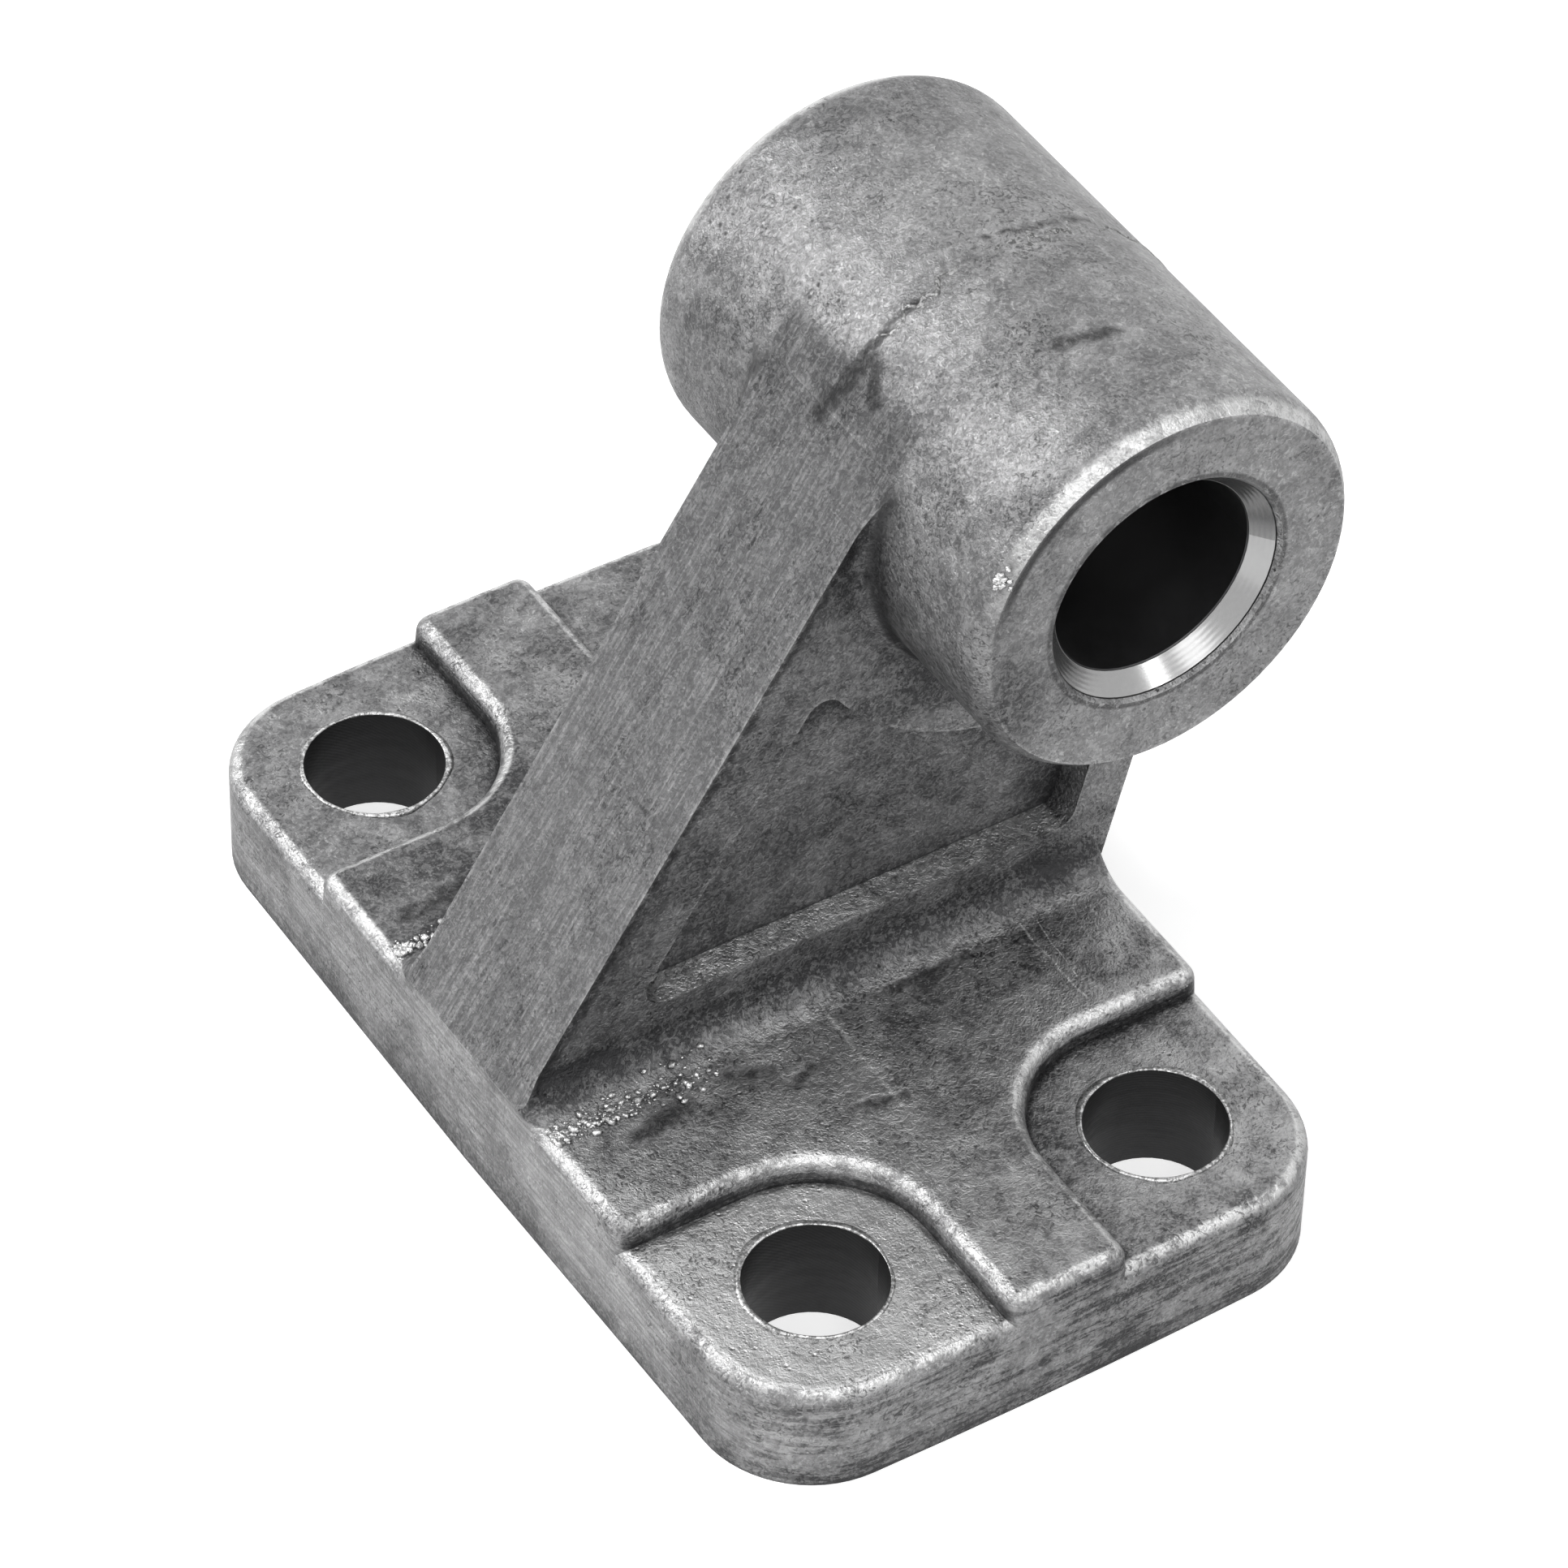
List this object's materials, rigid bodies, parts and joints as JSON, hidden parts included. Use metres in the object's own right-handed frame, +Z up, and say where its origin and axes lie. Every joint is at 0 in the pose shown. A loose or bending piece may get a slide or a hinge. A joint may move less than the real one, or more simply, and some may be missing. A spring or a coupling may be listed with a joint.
{
  "type": "counter bracket",
  "caption": "Cast counter bracket: a rectangular foot with sunken screw seats and a sloping recessed web that carries an overhanging pivot boss with a plain bore.",
  "frame": {"origin": "centre of the screw hole pattern on the machined underside of the foot", "axes": "+Z up from the underside, +Y along the pivot bore and the long side of the foot, +X from the foot of the sloping web towards the overhanging boss"},
  "size_m": [0.0374, 0.0514, 0.0418],
  "materials": {
    "casting": "raw die-cast aluminium, mottled grey, with linished sloping face and side and a machined underside, bore and screw holes"
  },
  "bodies": {
    "root": {"bracket_casting": "casting"}
  },
  "joints": []
}
